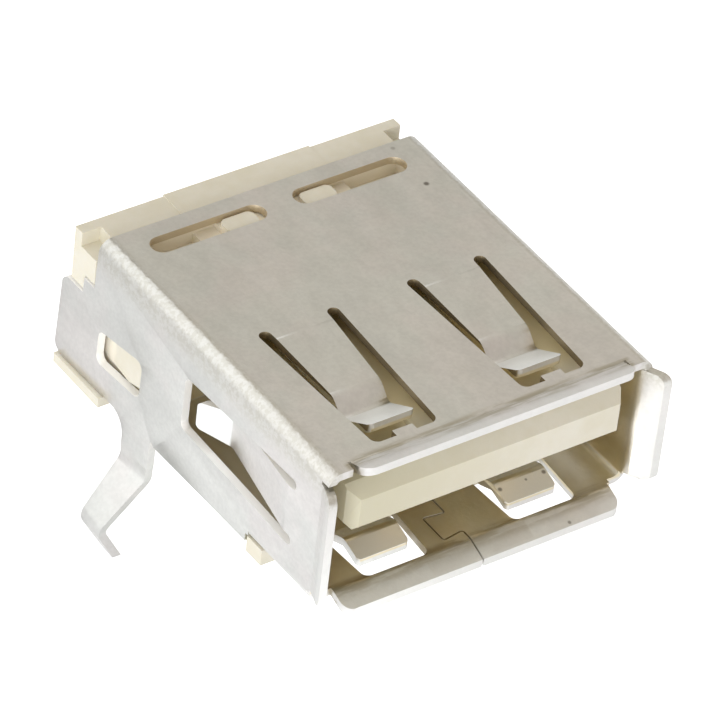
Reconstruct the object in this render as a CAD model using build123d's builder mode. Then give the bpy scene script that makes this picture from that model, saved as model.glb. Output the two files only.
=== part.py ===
from build123d import *
import os

# Right-angle socket for a printed circuit board. A folded sheet shell surrounds an
# insulator whose tongue carries four sprung contacts.
# X runs across the mouth, the mouth faces -Y, and Z = 0 is the top of the board.
# Y = 0 is the row of the two board legs. Millimetres.
# Depths are measured back from the tips of the mouth lips, and heights up from the
# underside of the shell floor.

# Sheet and mouth
sheet = 0.30
mouth_width = 12.50
mouth_height = 5.12
fold_inside = 0.20

# Reach of the sheet behind the lips
floor_depth = 4.55
wing_depth = 16.25
wing_height = 3.12
step_height = 3.72
wing_corner = 0.40

# Behind the floor the walls reach a little lower and lean outward towards their rear end
wall_drop = 0.12
wall_lean = 0.22

# Set-backs from the rear end of the walls
step_setback = 1.23
roof_setback = 1.85
leg_row_setback = 5.10

# Flared lips round the mouth
flare_depth = 0.95
flare_flat = 0.10
flare_rise = 0.31
left_lip_rise = 0.31
right_lip_rise = 0.45
flare_bend = 0.38
corner_front = 0.57
roof_lip_width = 11.00
roof_lip_corner = 0.45
floor_lip_width = 11.30
floor_lip_corner = 0.40
side_lip_low = 0.60
side_lip_high = 5.18
side_lip_corner = 0.35
lip_gap = 0.12
corner_notch_depth = 1.12

# Roof springs, one each side of the middle
roof_spring_x = 3.00
roof_window_front = 1.32
roof_window_front_half = 1.28
roof_window_root_half = 1.60
roof_window_corner = 0.30
roof_stop_half = 0.40
roof_stop_length = 0.28
roof_spring_root = 7.60
roof_spring_root_half = 1.15
roof_spring_knee = 4.24
roof_spring_knee_drop = 0.25
roof_spring_knee_half = 0.96
roof_spring_crest = 3.62
roof_spring_crest_drop = 0.84
roof_spring_crest_half = 0.95
roof_spring_tip = 2.15
roof_spring_tip_half = 0.92
roof_spring_bend = 0.40
spring_start_bend = 1.00
spring_flat = 0.30
spring_tip_corner = 0.20

# Side springs, one in each wall, rooted at the mouth end
side_spring_height = 2.86
side_window_root_half = 1.38
side_window_tip = 8.80
side_window_tip_half = 1.08
side_window_corner = 0.25
side_spring_root = 2.45
side_spring_root_half = 0.98
side_spring_crest = 6.75
side_spring_crest_half = 0.72
side_spring_tip = 8.10
side_spring_tip_low = 0.62
side_spring_tip_high = 0.46
side_spring_return = 0.59
side_spring_bend = 0.60

# Floor fingers, one in each half of the floor
floor_finger_x = 3.03
floor_window_front = 0.86
floor_window_front_half = 1.30
floor_window_root_half = 1.50
floor_window_corner = 0.30
floor_finger_setback = 0.65
floor_finger_flat = 0.65
floor_finger_ridge_reach = 1.35
floor_finger_reach = 2.23
floor_finger_ridge_rise = 0.27
floor_finger_half = 1.04
floor_finger_corner = 0.16
floor_finger_bend = 0.30

# Closing seam in the floor, locked by a dovetail
seam = 0.06
seam_x = -0.10
seam_corner = 0.10
dovetail_setback = 2.25
dovetail_width = 1.02
dovetail_flare = 0.12
dovetail_length = 0.85

# Relief behind each floor fold
relief_reach = 0.85
relief_overlap = 0.15
relief_height = 0.20
relief_inset = 0.53

# Slots in the roof that the insulator's bosses lock into
roof_slot_inner = 0.60
roof_slot_outer = 5.20
roof_slot_width = 0.88
roof_slot_margin = 0.67

# Latch windows in the walls
latch_setback = 2.40
latch_length = 2.60
latch_low = 1.16
latch_high = 2.70
latch_rear_low = 0.98
latch_rear_high = 2.30
latch_corner = 0.30

# Board legs
leg_width = 1.56
leg_root_radius = 0.80
leg_relief = 0.10
leg_flat = 1.30
leg_bend_drop = 1.80
leg_knee_drop = 3.66
leg_knee_out = 1.80
leg_knee_width = 1.16
leg_tip_drop = 5.40
leg_tip_out = 0.78
leg_tip_width = 0.66
leg_tip_corner = 0.22
leg_upper_bend = 0.60
leg_knee_bend = 0.40

# Insulator: tongue
fit_gap = 0.05
tongue_gap_above = 0.71
tongue_thick = 1.84
tongue_gap_side = 0.70
tongue_front = 0.43
tongue_top_bevel_length = 0.60
tongue_top_bevel = 0.36
tongue_low_bevel = 0.32
tongue_side_bevel_length = 0.45
tongue_side_bevel = 0.30
spring_clearance = 0.10

# Insulator: block and foot
foot_drop = 0.55
cavity_setback = 5.05
block_setback = 0.32
ear_setback = 0.80
ear_notch_height = 0.60
ear_notch_width = 0.74
end_step_x = 3.00
end_step = 0.03
end_step_back = 0.05
front_foot_half = 6.50
front_foot_gap = 0.06
rear_foot_half = 6.90
rear_foot_setback = 0.20
rear_foot_length = 2.85

# Insulator: bosses and pockets under the roof slots
boss_inner = 0.95
boss_outer = 2.25
boss_rise = 0.20
boss_side_gap = 0.09
shelf_outer = 3.10
shelf_drop = 0.20
pocket_outer = 5.30
pocket_drop = 0.60
pocket_margin = 0.15

# Insulator: latches in the wall windows
latch_shy = 0.03
latch_low_cut_length = 0.85
latch_low_cut_height = 0.36
latch_rear_cut = 0.30

# Contacts
contact_inner_x = 1.00
contact_outer_x = 3.50
contact_width = 1.00
contact_thick = 0.25
contact_recess = 0.06
contact_tip_depth = 1.40
contact_tip_rise = 0.62
contact_bump_depth = 3.30
contact_bump_drop = 0.30
contact_flat_run = 3.60
contact_bump_bend = 0.80
contact_knee_bend = 1.50
contact_elbow_bend = 0.42
contact_gap = 0.03
tail_row = 2.71
tail_length = 3.00
tail_width = 0.64
tail_point_width = 0.26
tail_point_length = 0.45
tail_shoulder = 0.30
groove_front = 0.98
groove_height = 0.92
groove_side_gap = 0.09
rear_slot_side_gap = 0.06
rear_slot_headroom = 0.45

# Derived places
shell_width = mouth_width + 2 * sheet
shell_height = mouth_height + 2 * sheet
wall_outer = shell_width / 2
wall_inner = mouth_width / 2
wall_middle = wall_outer - sheet / 2
fold_outside = fold_inside + sheet
fold_middle = fold_inside + sheet / 2
insulator_half = wall_inner - fit_gap
floor_finger_root = floor_depth - floor_finger_setback
floor_finger_rise_start = floor_finger_root - floor_finger_flat
floor_finger_ridge = floor_finger_root - floor_finger_ridge_reach
floor_finger_tip = floor_finger_root - floor_finger_reach
dovetail_rear = floor_depth - dovetail_setback
dovetail_front = dovetail_rear - dovetail_width
relief_front = floor_depth - relief_reach
relief_rear = floor_depth + relief_overlap
front_foot_depth = relief_front + front_foot_gap
front_foot_rear = relief_rear - front_foot_gap
step_depth = wing_depth - step_setback
roof_depth = wing_depth - roof_setback
leg_row_depth = wing_depth - leg_row_setback
roof_slot_rear = roof_depth - roof_slot_margin
roof_slot_front = roof_slot_rear - roof_slot_width
latch_rear = wing_depth - latch_setback
latch_front = latch_rear - latch_length
cavity_depth = wing_depth - cavity_setback
block_rear = wing_depth - block_setback
ear_front = wing_depth - ear_setback
rear_foot_rear = wing_depth - rear_foot_setback
rear_foot_depth = rear_foot_rear - rear_foot_length
contact_flat_depth = cavity_depth - contact_flat_run
through = 2 * shell_width
sides = (-1, 1)


def back(depth):
    """Y of a place that lies depth behind the tips of the lips."""
    return depth - leg_row_depth


def up(height):
    """Z of a place that lies height above the underside of the shell floor."""
    return height + foot_drop


roof_middle = up(shell_height - sheet / 2)
roof_under = up(shell_height - sheet)
floor_middle = up(sheet / 2)
tongue_top = roof_under - tongue_gap_above
tongue_under = tongue_top - tongue_thick
block_top = roof_under - fit_gap
contact_level = tongue_under + contact_recess + contact_thick / 2


def lean(depth, height):
    """How far a wall stands outward at a place behind the floor."""
    full_drop = shell_height - sheet / 2
    along = (depth - floor_depth) / (wing_depth - floor_depth)
    return wall_lean * along * (full_drop - height) / full_drop


def beyond(start, end):
    """Where a straight run from start to end comes out, one sheet further on."""
    run = Vector(*end) - Vector(*start)
    far = Vector(*end) + run.normalized() * sheet
    return (far.X, far.Y)


def bent_strip(profile, route, bends, width, outline_plane, outline, corners):
    """Sheet bent along a route of its middle line and cut to an outline."""
    with BuildPart() as strip:
        with BuildSketch(profile):
            with BuildLine():
                FilletPolyline(*route, radius=bends)
            trace(line_width=sheet)
        extrude(amount=width / 2, both=True)
        with BuildSketch(outline_plane):
            with BuildLine():
                FilletPolyline(*outline, radius=corners, close=True)
            make_face()
        extrude(amount=through, both=True, mode=Mode.INTERSECT)
    return strip.part


def roof_lip():
    route = [
        (back(flare_depth), roof_middle),
        (back(flare_depth - flare_flat), roof_middle),
        (back(0), roof_middle + flare_rise),
    ]
    route[-1] = beyond(route[1], route[2])
    half = roof_lip_width / 2
    outline = [
        (-half, back(flare_depth)),
        (half, back(flare_depth)),
        (half, back(0)),
        (-half, back(0)),
    ]
    corners = [0, 0, roof_lip_corner, roof_lip_corner]
    return bent_strip(Plane.YZ, route, [flare_bend], shell_width, Plane.XY, outline, corners)


def floor_lip():
    route = [
        (back(flare_depth), floor_middle),
        (back(flare_depth - flare_flat), floor_middle),
        (back(0), floor_middle - flare_rise),
    ]
    route[-1] = beyond(route[1], route[2])
    half = floor_lip_width / 2
    outline = [
        (-half, back(flare_depth)),
        (half, back(flare_depth)),
        (half, back(0)),
        (-half, back(0)),
    ]
    corners = [0, 0, floor_lip_corner, floor_lip_corner]
    return bent_strip(Plane.YZ, route, [flare_bend], shell_width, Plane.XY, outline, corners)


def side_lip(side):
    rise = right_lip_rise if side > 0 else left_lip_rise
    route = [
        (side * wall_middle, back(flare_depth)),
        (side * wall_middle, back(flare_depth - flare_flat)),
        (side * (wall_middle + rise), back(0)),
    ]
    route[-1] = beyond(route[1], route[2])
    outline = [
        (back(flare_depth), up(side_lip_low)),
        (back(flare_depth), up(side_lip_high)),
        (back(0), up(side_lip_high)),
        (back(0), up(side_lip_low)),
    ]
    corners = [0, 0, side_lip_corner, side_lip_corner]
    middle = Plane.XY.offset(up(shell_height / 2))
    return bent_strip(middle, route, [flare_bend], shell_height, Plane.YZ, outline, corners)


def roof_spring(side):
    centre = side * roof_spring_x
    route = [
        (back(roof_spring_root), roof_middle),
        (back(roof_spring_root - spring_flat), roof_middle),
        (back(roof_spring_knee), roof_middle - roof_spring_knee_drop),
        (back(roof_spring_crest), roof_middle - roof_spring_crest_drop),
        (back(roof_spring_tip), roof_middle),
    ]
    route[-1] = beyond(route[3], route[4])
    bends = [spring_start_bend, roof_spring_bend, roof_spring_bend]
    halves = [
        (roof_spring_root, roof_spring_root_half),
        (roof_spring_knee, roof_spring_knee_half),
        (roof_spring_crest, roof_spring_crest_half),
        (roof_spring_tip, roof_spring_tip_half),
    ]
    outline = [(centre + half, back(depth)) for depth, half in halves]
    outline += [(centre - half, back(depth)) for depth, half in reversed(halves)]
    corners = [0, 0, 0, spring_tip_corner, spring_tip_corner, 0, 0, 0]
    width = 2 * roof_window_root_half
    return bent_strip(Plane.YZ.offset(centre), route, bends, width, Plane.XY, outline, corners)


def side_spring(side):
    reach = tongue_gap_side - fit_gap
    inward = wall_middle - reach
    route = [
        (side * wall_middle, back(side_spring_root)),
        (side * wall_middle, back(side_spring_root + spring_flat)),
        (side * inward, back(side_spring_crest)),
        (side * (inward + side_spring_return), back(side_spring_tip)),
    ]
    route[-1] = beyond(route[2], route[3])
    level = side_spring_height
    outline = [
        (back(side_spring_root), up(level + side_spring_root_half)),
        (back(side_spring_crest), up(level + side_spring_crest_half)),
        (back(side_spring_tip), up(level + side_spring_tip_high)),
        (back(side_spring_tip), up(level - side_spring_tip_low)),
        (back(side_spring_crest), up(level - side_spring_crest_half)),
        (back(side_spring_root), up(level - side_spring_root_half)),
    ]
    corners = [0, 0, spring_tip_corner, spring_tip_corner, 0, 0]
    bends = [spring_start_bend, side_spring_bend]
    width = 2 * side_window_root_half
    middle = Plane.XY.offset(up(level))
    return bent_strip(middle, route, bends, width, Plane.YZ, outline, corners)


def floor_finger(side):
    centre = side * floor_finger_x
    route = [
        (back(floor_finger_root), floor_middle),
        (back(floor_finger_rise_start), floor_middle),
        (back(floor_finger_ridge), floor_middle + floor_finger_ridge_rise),
        (back(floor_finger_tip), floor_middle),
    ]
    route[-1] = beyond(route[2], route[3])
    outline = [
        (centre - floor_finger_half, back(floor_finger_root)),
        (centre + floor_finger_half, back(floor_finger_root)),
        (centre + floor_finger_half, back(floor_finger_tip)),
        (centre - floor_finger_half, back(floor_finger_tip)),
    ]
    corners = [0, 0, floor_finger_corner, floor_finger_corner]
    bends = [floor_finger_bend, floor_finger_bend]
    width = 2 * floor_window_root_half
    return bent_strip(Plane.YZ.offset(centre), route, bends, width, Plane.XY, outline, corners)


def board_leg(side):
    root = wall_middle + lean(leg_row_depth, -leg_flat)
    route = [
        (side * root, up(-leg_flat)),
        (side * root, up(-leg_bend_drop)),
        (side * (wall_middle + leg_knee_out), up(-leg_knee_drop)),
        (side * (wall_middle + leg_tip_out), up(-leg_tip_drop)),
    ]
    halves = [
        (leg_flat, leg_width / 2),
        (leg_bend_drop, leg_width / 2),
        (leg_knee_drop, leg_knee_width / 2),
        (leg_tip_drop, leg_tip_width / 2),
    ]
    outline = [(half, up(-drop)) for drop, half in halves]
    outline += [(-half, up(-drop)) for drop, half in reversed(halves)]
    corners = [0, leg_root_radius, 0, leg_tip_corner, leg_tip_corner, 0, leg_root_radius, 0]
    bends = [leg_upper_bend, leg_knee_bend]
    return bent_strip(Plane.XZ, route, bends, leg_width, Plane.YZ, outline, corners)


def wall_section(depth):
    """Roof and walls at one depth behind the floor, with the walls on down to the legs."""
    foot_level = -leg_flat - sheet
    foot_x = wall_middle + lean(depth, foot_level)
    with BuildSketch(Plane.XZ.offset(-back(depth))) as section:
        with BuildLine():
            FilletPolyline(
                (-foot_x, up(foot_level)),
                (-wall_middle, roof_middle),
                (wall_middle, roof_middle),
                (foot_x, up(foot_level)),
                radius=fold_middle,
            )
        trace(line_width=sheet)
    return section.sketch


def rear_sheet():
    """Roof and walls behind the closed mouth, with the roots of the legs and the wings."""
    leg_half = leg_width / 2
    with BuildPart() as rear:
        loft([wall_section(floor_depth), wall_section(wing_depth)], ruled=True)
        with BuildSketch(Plane.YZ):
            with BuildLine():
                FilletPolyline(
                    (back(floor_depth), up(-wall_drop)),
                    (-leg_half, up(-wall_drop)),
                    (-leg_half, up(-leg_flat)),
                    (leg_half, up(-leg_flat)),
                    (leg_half, up(-wall_drop)),
                    (back(wing_depth), up(-wall_drop)),
                    (back(wing_depth), up(wing_height)),
                    (back(step_depth), up(wing_height)),
                    (back(step_depth), up(step_height)),
                    (back(roof_depth), up(step_height)),
                    (back(roof_depth), up(shell_height + sheet)),
                    (back(floor_depth), up(shell_height + sheet)),
                    radius=[0, 0, 0, 0, leg_root_radius, wing_corner, wing_corner, 0, 0, 0, 0, 0],
                    close=True,
                )
            make_face()
            with Locations((-leg_half - leg_relief, up(-wall_drop))):
                Circle(leg_relief, mode=Mode.SUBTRACT)
        extrude(amount=through, both=True, mode=Mode.INTERSECT)
    return rear.part


with BuildPart() as shell:
    # Sheet folded right round behind the lips
    with BuildSketch(Plane.XZ.offset(-back(floor_depth))):
        with Locations((0, up(shell_height / 2))):
            RectangleRounded(shell_width, shell_height, fold_outside)
            RectangleRounded(mouth_width, mouth_height, fold_inside, mode=Mode.SUBTRACT)
    extrude(amount=floor_depth - corner_front)
    add(rear_sheet())

    # Only the two upper corners reach forward between the lips
    with BuildSketch(Plane.XZ.offset(-back(flare_depth))):
        with Locations((0, up(side_lip_high + lip_gap))):
            Rectangle(2 * shell_width, 2 * shell_height, align=(Align.CENTER, Align.MAX))
        with Locations((0, up(0))):
            Rectangle(roof_lip_width + 2 * lip_gap, 2 * shell_height, align=(Align.CENTER, Align.MIN))
    extrude(amount=flare_depth, mode=Mode.SUBTRACT)
    with BuildSketch(Plane.XZ.offset(-back(corner_notch_depth))):
        for side in sides:
            with Locations((side * (floor_lip_width / 2 + lip_gap), up(side_lip_low - lip_gap))):
                inward = Align.MIN if side > 0 else Align.MAX
                Rectangle(shell_width, shell_height, align=(inward, Align.MAX))
    extrude(amount=corner_notch_depth, mode=Mode.SUBTRACT)

    # Flared lips
    add(roof_lip())
    add(floor_lip())
    for side in sides:
        add(side_lip(side))

    # Windows round the roof springs, with a stop in the middle of the front edge
    arm_radius = (roof_window_root_half - roof_spring_root_half) / 2
    with BuildSketch(Plane.XY.offset(roof_under)):
        for side in sides:
            centre = side * roof_spring_x
            with BuildLine():
                FilletPolyline(
                    (centre - roof_window_root_half, back(roof_spring_root)),
                    (centre + roof_window_root_half, back(roof_spring_root)),
                    (centre + roof_window_front_half, back(roof_window_front)),
                    (centre - roof_window_front_half, back(roof_window_front)),
                    radius=[0, 0, roof_window_corner, roof_window_corner],
                    close=True,
                )
            make_face()
            for arm in sides:
                arm_x = centre + arm * (roof_window_root_half - arm_radius)
                with Locations((arm_x, back(roof_spring_root))):
                    Circle(arm_radius)
            with Locations((centre, back(roof_window_front))):
                Rectangle(
                    2 * roof_stop_half,
                    roof_stop_length,
                    align=(Align.CENTER, Align.MIN),
                    mode=Mode.SUBTRACT,
                )
    extrude(amount=sheet, mode=Mode.SUBTRACT)

    # Windows round the side springs
    arm_radius = (side_window_root_half - side_spring_root_half) / 2
    with BuildSketch(Plane.YZ):
        with BuildLine():
            FilletPolyline(
                (back(side_spring_root), up(side_spring_height - side_window_root_half)),
                (back(side_spring_root), up(side_spring_height + side_window_root_half)),
                (back(side_window_tip), up(side_spring_height + side_window_tip_half)),
                (back(side_window_tip), up(side_spring_height - side_window_tip_half)),
                radius=[0, 0, side_window_corner, side_window_corner],
                close=True,
            )
        make_face()
        for arm in sides:
            arm_z = up(side_spring_height + arm * (side_window_root_half - arm_radius))
            with Locations((back(side_spring_root), arm_z)):
                Circle(arm_radius)
    extrude(amount=through, both=True, mode=Mode.SUBTRACT)

    # Windows round the floor fingers
    arm_radius = (floor_window_root_half - floor_finger_half) / 2
    with BuildSketch(Plane.XY.offset(up(-shell_height))):
        for side in sides:
            centre = side * floor_finger_x
            with BuildLine():
                FilletPolyline(
                    (centre - floor_window_root_half, back(floor_finger_root)),
                    (centre + floor_window_root_half, back(floor_finger_root)),
                    (centre + floor_window_front_half, back(floor_window_front)),
                    (centre - floor_window_front_half, back(floor_window_front)),
                    radius=[0, 0, floor_window_corner, floor_window_corner],
                    close=True,
                )
            make_face()
            for arm in sides:
                arm_x = centre + arm * (floor_window_root_half - arm_radius)
                with Locations((arm_x, back(floor_finger_root))):
                    Circle(arm_radius)
    extrude(amount=shell_height + 2 * sheet, mode=Mode.SUBTRACT)

    # Springs and fingers
    for side in sides:
        add(roof_spring(side))
        add(side_spring(side))
        add(floor_finger(side))

    # Seam down the middle of the floor
    with BuildSketch(Plane.XY.offset(up(-shell_height))):
        with BuildLine():
            FilletPolyline(
                (seam_x, back(-sheet)),
                (seam_x, back(dovetail_front)),
                (seam_x - dovetail_length, back(dovetail_front - dovetail_flare)),
                (seam_x - dovetail_length, back(dovetail_rear + dovetail_flare)),
                (seam_x, back(dovetail_rear)),
                (seam_x, back(floor_depth + sheet)),
                radius=seam_corner,
            )
        trace(line_width=seam)
    extrude(amount=shell_height + 2 * sheet, mode=Mode.SUBTRACT)

    # Relief where each floor fold ends
    with BuildSketch(Plane.XY.offset(up(-sheet))):
        for side in sides:
            inward = Align.MIN if side > 0 else Align.MAX
            with Locations((side * (wall_outer - relief_inset), back(relief_front))):
                Rectangle(2 * relief_inset, relief_rear - relief_front, align=(inward, Align.MIN))
    extrude(amount=sheet + relief_height, mode=Mode.SUBTRACT)

    # Locking slots in the roof
    with BuildSketch(Plane.XY.offset(roof_under)):
        slot_middle = (roof_slot_inner + roof_slot_outer) / 2
        for side in sides:
            with Locations((side * slot_middle, back(roof_slot_front) + roof_slot_width / 2)):
                SlotOverall(roof_slot_outer - roof_slot_inner, roof_slot_width)
    extrude(amount=sheet, mode=Mode.SUBTRACT)

    # Latch windows in the walls, a little lower at the rear
    with BuildSketch(Plane.YZ):
        with BuildLine():
            FilletPolyline(
                (back(latch_front), up(latch_low)),
                (back(latch_front), up(latch_high)),
                (back(latch_rear), up(latch_rear_high)),
                (back(latch_rear), up(latch_rear_low)),
                radius=latch_corner,
                close=True,
            )
        make_face()
    extrude(amount=through, both=True, mode=Mode.SUBTRACT)

    # Board legs
    for side in sides:
        add(board_leg(side))

shell.part.label = "shell"


def contact_line():
    """Middle line of a contact, from its tucked tip to the point of its tail."""
    route = [
        (back(contact_tip_depth), contact_level + contact_tip_rise),
        (back(contact_bump_depth), contact_level - contact_bump_drop),
        (back(contact_flat_depth), contact_level),
        (tail_row, contact_level),
        (tail_row, -tail_length),
    ]
    bends = [contact_bump_bend, contact_knee_bend, contact_elbow_bend]
    return route, bends


def contact(centre):
    route, bends = contact_line()
    half = contact_width / 2
    tail_half = tail_width / 2
    point_half = tail_point_width / 2
    top = up(shell_height)
    with BuildPart() as strip:
        with BuildSketch(Plane.YZ.offset(centre)):
            with BuildLine():
                FilletPolyline(*route, radius=bends)
            trace(line_width=contact_thick)
        extrude(amount=half, both=True)
        with BuildSketch(Plane.XZ):
            with BuildLine():
                Polyline(
                    (centre - half, top),
                    (centre + half, top),
                    (centre + half, tail_shoulder),
                    (centre + tail_half, tail_shoulder - (half - tail_half)),
                    (centre + tail_half, -tail_length + tail_point_length),
                    (centre + point_half, -tail_length),
                    (centre - point_half, -tail_length),
                    (centre - tail_half, -tail_length + tail_point_length),
                    (centre - tail_half, tail_shoulder - (half - tail_half)),
                    (centre - half, tail_shoulder),
                    close=True,
                )
            make_face()
        extrude(amount=2 * wing_depth, both=True, mode=Mode.INTERSECT)
    return strip.part


contact_places = [-contact_outer_x, -contact_inner_x, contact_inner_x, contact_outer_x]


def contact_passage(centre):
    """Space that a contact takes in the insulator: groove, passage and rear slot."""
    route, bends = contact_line()
    with BuildPart() as space:
        with BuildSketch(Plane.YZ.offset(centre)):
            with BuildLine():
                FilletPolyline(*route, radius=bends)
            trace(line_width=contact_thick + 2 * contact_gap)
        extrude(amount=contact_width / 2 + contact_gap, both=True)
        with BuildSketch(Plane.YZ.offset(centre)):
            with Locations((back(groove_front), tongue_under)):
                Rectangle(
                    contact_flat_depth - groove_front,
                    groove_height,
                    align=(Align.MIN, Align.MIN),
                )
            with Locations((back(groove_front), tongue_under)):
                Rectangle(
                    cavity_depth - groove_front,
                    contact_recess + contact_thick,
                    align=(Align.MIN, Align.MIN),
                )
        extrude(amount=contact_width / 2 + groove_side_gap, both=True)
        with BuildSketch(Plane.YZ.offset(centre)):
            with Locations((tail_row, -sheet)):
                Rectangle(
                    back(block_rear) - tail_row + sheet,
                    contact_level + rear_slot_headroom + sheet,
                    align=(Align.MIN, Align.MIN),
                )
        extrude(amount=contact_width / 2 + rear_slot_side_gap, both=True)
    return space.part


def tongue():
    """Tongue with bevelled front edges and a relief under each roof spring."""
    half = wall_inner - tongue_gap_side
    spring_under = roof_under - roof_spring_crest_drop
    relief_front_depth = roof_spring_tip
    relief_rear_depth = roof_spring_knee + spring_flat
    with BuildPart() as board:
        with BuildSketch(Plane.YZ):
            with BuildLine():
                Polyline(
                    (back(cavity_depth), tongue_under),
                    (back(tongue_front) + tongue_low_bevel, tongue_under),
                    (back(tongue_front), tongue_under + tongue_low_bevel),
                    (back(tongue_front), tongue_top - tongue_top_bevel),
                    (back(tongue_front + tongue_top_bevel_length), tongue_top),
                    (back(cavity_depth), tongue_top),
                    close=True,
                )
            make_face()
        extrude(amount=half, both=True)
        with BuildSketch(Plane.XY):
            with BuildLine():
                Polyline(
                    (-half, back(cavity_depth)),
                    (-half, back(tongue_front + tongue_side_bevel_length)),
                    (-half + tongue_side_bevel, back(tongue_front)),
                    (half - tongue_side_bevel, back(tongue_front)),
                    (half, back(tongue_front + tongue_side_bevel_length)),
                    (half, back(cavity_depth)),
                    close=True,
                )
            make_face()
        extrude(amount=up(shell_height), mode=Mode.INTERSECT)
        low_edges = board.edges().filter_by(Axis.Y).group_by(Axis.Z)[0]
        chamfer(low_edges, tongue_low_bevel)
        with BuildSketch(Plane.XY.offset(spring_under - spring_clearance)):
            for side in sides:
                with Locations((side * roof_spring_x, back(relief_front_depth))):
                    Rectangle(
                        2 * roof_spring_root_half,
                        relief_rear_depth - relief_front_depth,
                        align=(Align.CENTER, Align.MIN),
                    )
        extrude(amount=shell_height, mode=Mode.SUBTRACT)
    return board.part


def latch(side):
    """Latch in a wall window, level with the wall at its front and sloping in behind."""
    root = insulator_half - sheet
    crest = wall_outer + lean(latch_front, latch_high) - latch_shy
    front = back(latch_front + fit_gap)
    rear = back(latch_rear - fit_gap)
    low = up(latch_low + fit_gap)
    high = up(latch_high - fit_gap)
    rear_low = up(latch_rear_low + fit_gap)
    rear_high = up(latch_rear_high - fit_gap)
    corner = latch_corner - fit_gap
    with BuildPart() as nub:
        with BuildSketch(Plane.XY):
            with BuildLine():
                Polyline(
                    (side * root, front),
                    (side * crest, front),
                    (side * insulator_half, rear),
                    (side * root, rear),
                    close=True,
                )
            make_face()
        extrude(amount=up(shell_height))
        with BuildSketch(Plane.YZ):
            with BuildLine():
                FilletPolyline(
                    (front, low + latch_low_cut_height),
                    (front + latch_low_cut_length, low),
                    (rear, rear_low),
                    (rear, rear_high - latch_rear_cut),
                    (rear - latch_rear_cut, rear_high),
                    (front, high),
                    radius=[0, 0, corner, 0, 0, corner],
                    close=True,
                )
            make_face()
        extrude(amount=through, both=True, mode=Mode.INTERSECT)
    return nub.part


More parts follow.
